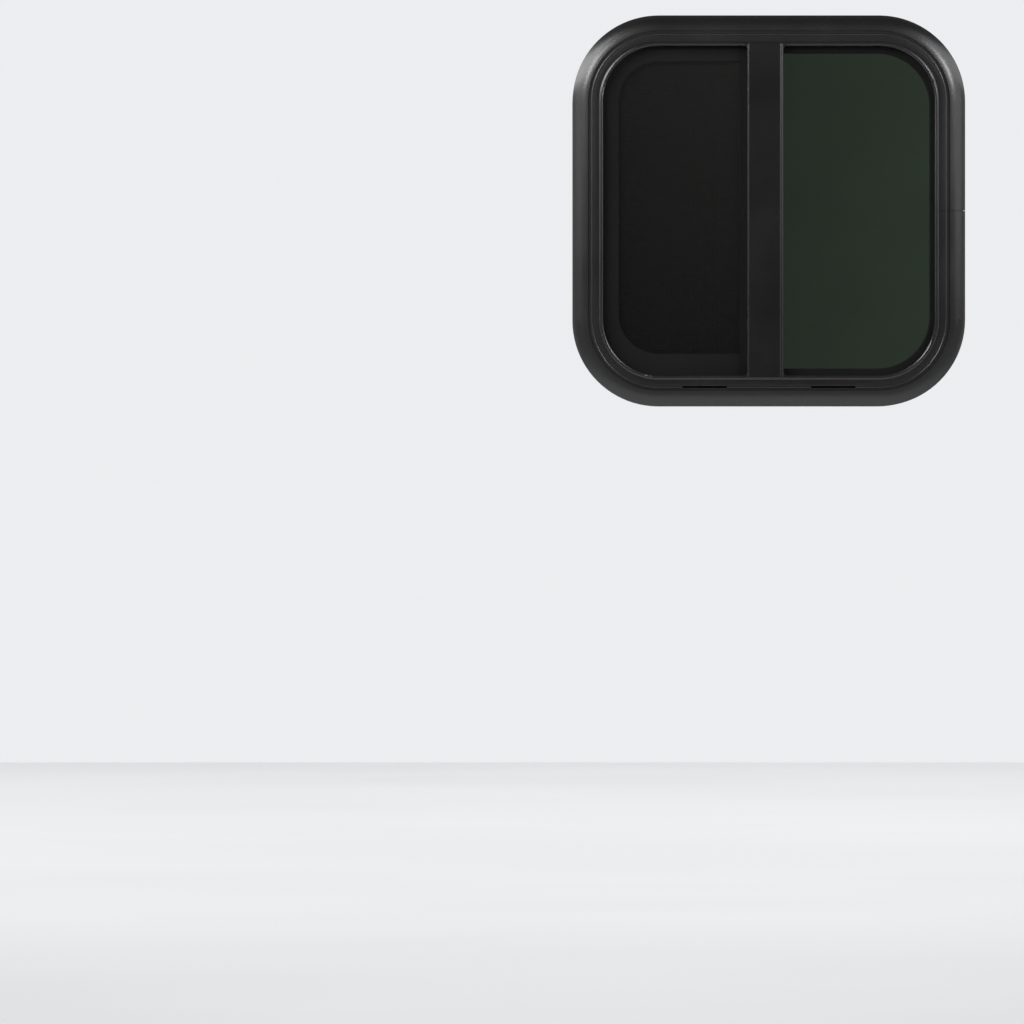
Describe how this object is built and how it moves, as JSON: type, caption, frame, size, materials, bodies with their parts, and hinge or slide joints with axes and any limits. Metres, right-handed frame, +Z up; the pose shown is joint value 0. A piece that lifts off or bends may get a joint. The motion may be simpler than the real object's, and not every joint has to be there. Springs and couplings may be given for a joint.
{
  "type": "caravan half-slider window",
  "caption": "Radius-corner half-slider window for a caravan wall: bent black aluminium frame, fixed tinted pane, sliding pane behind an insect screen, and a room-side clamping ring.",
  "frame": {"origin": "middle of the window, on the plane where the outer flange's back meets the wall's outer face", "axes": "-Y faces outdoors, +Y goes through the wall to the room, +Z is up, +X is to the right seen from outdoors"},
  "size_m": [0.419, 0.0509, 0.417],
  "materials": {
    "frame_paint": "satin black powder coat on bent aluminium extrusion",
    "mullion_paint": "satin black powder coat on straight aluminium extrusion",
    "screen_paint": "matte black paint on roll-formed aluminium",
    "bare_aluminium": "mill finish",
    "plated_steel": "zinc plated",
    "tinted_glass": "dark green tempered privacy glass",
    "rubber": "matte black glazing rubber",
    "black_plastic": "fine-grained black nylon",
    "pile": "dark grey wool pile",
    "foam": "open-cell black foam",
    "screen_mesh": "black coated fibreglass mesh"
  },
  "bodies": {
    "root": {"outer_frame": "frame_paint", "frame_splice": "bare_aluminium", "weep_filter_left": "foam", "weep_filter_right": "foam", "mullion": "mullion_paint", "mullion_pile": "pile", "mullion_glazing_rubber": "rubber", "fixed_glass": "tinted_glass", "fixed_glass_rubber": "rubber", "screen_frame": "screen_paint", "screen_stile": "screen_paint", "screen_spline": "rubber", "screen_mesh": "screen_mesh", "sliding_glass": "tinted_glass", "sash_stile": "mullion_paint", "sash_glazing_rubber": "rubber", "sash_guide_upper": "black_plastic", "sash_guide_lower": "black_plastic", "glass_run_side": "pile", "glass_run_upper": "pile", "glass_run_lower": "pile", "slide_stop_upper": "black_plastic", "slide_stop_lower": "black_plastic", "latch_body": "black_plastic", "latch_slider": "black_plastic", "latch_bolt": "plated_steel", "trim_ring": "frame_paint"}
  },
  "joints": []
}
